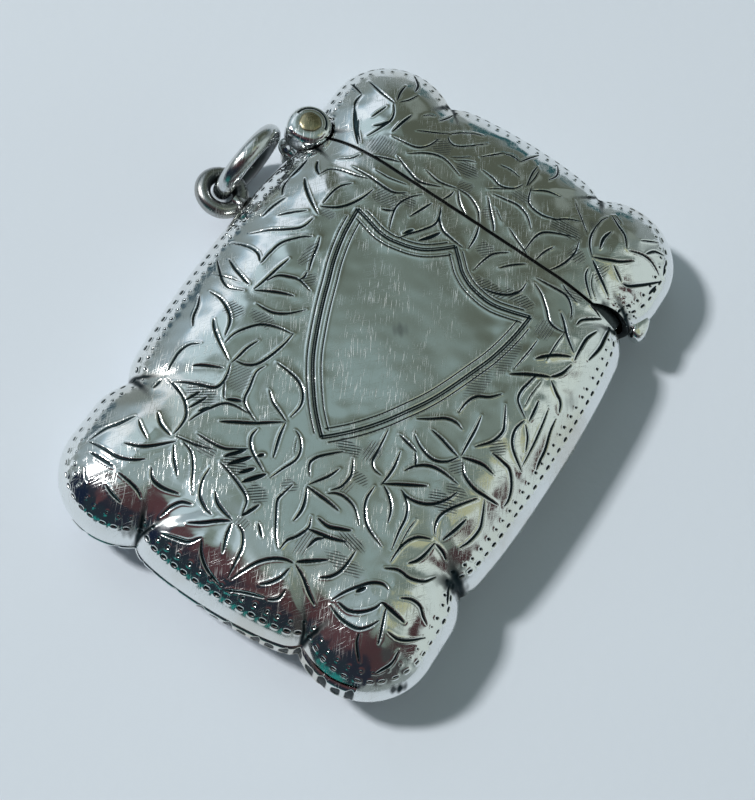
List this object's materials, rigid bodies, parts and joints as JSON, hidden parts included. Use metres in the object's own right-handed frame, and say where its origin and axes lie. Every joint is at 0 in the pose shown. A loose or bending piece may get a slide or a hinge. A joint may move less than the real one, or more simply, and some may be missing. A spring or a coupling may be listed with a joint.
{
  "type": "vesta case",
  "caption": "Flat pocket match safe with scalloped, rolled edges, a side-hinged sprung lid, a ribbed striker along the base and a loose chain ring in a fixed eye.",
  "frame": {"origin": "middle of the flat of the back, on which the case lies", "axes": "+X across the width away from the hinge, +Y along the length towards the lid, +Z out of the engraved front"},
  "size_m": [0.0392, 0.0513, 0.0084],
  "materials": {
    "silver": "polished silver, worn and tarnished",
    "steel": "spring steel, blued",
    "striker": "ribbed silver, darkened between the ribs"
  },
  "bodies": {
    "case": {"front_shell": "silver", "back_shell": "silver", "mouth_collar": "silver", "striker": "striker", "front_knuckle": "silver", "back_knuckle": "silver", "hinge_pin": "silver", "lid_spring": "steel", "ring_eye": "silver"},
    "lid": {"lid_front_shell": "silver", "lid_back_shell": "silver", "lid_knuckle": "silver", "thumbpiece": "silver"},
    "jump_ring": {"jump_ring": "silver"}
  },
  "joints": [
    {"name": "lid_hinge", "type": "hinge", "parent": "case", "child": "lid", "pos_m": [-0.0165, 0.01445, 0.00405], "axis": [0, 0, 1], "range_deg": [0, 95]},
    {"name": "jump_ring_swing", "type": "hinge", "parent": "case", "child": "jump_ring", "pos_m": [-0.0196, 0.0058, 0.00405], "axis": [0, 0, 1], "range_deg": [0, 190]}
  ]
}
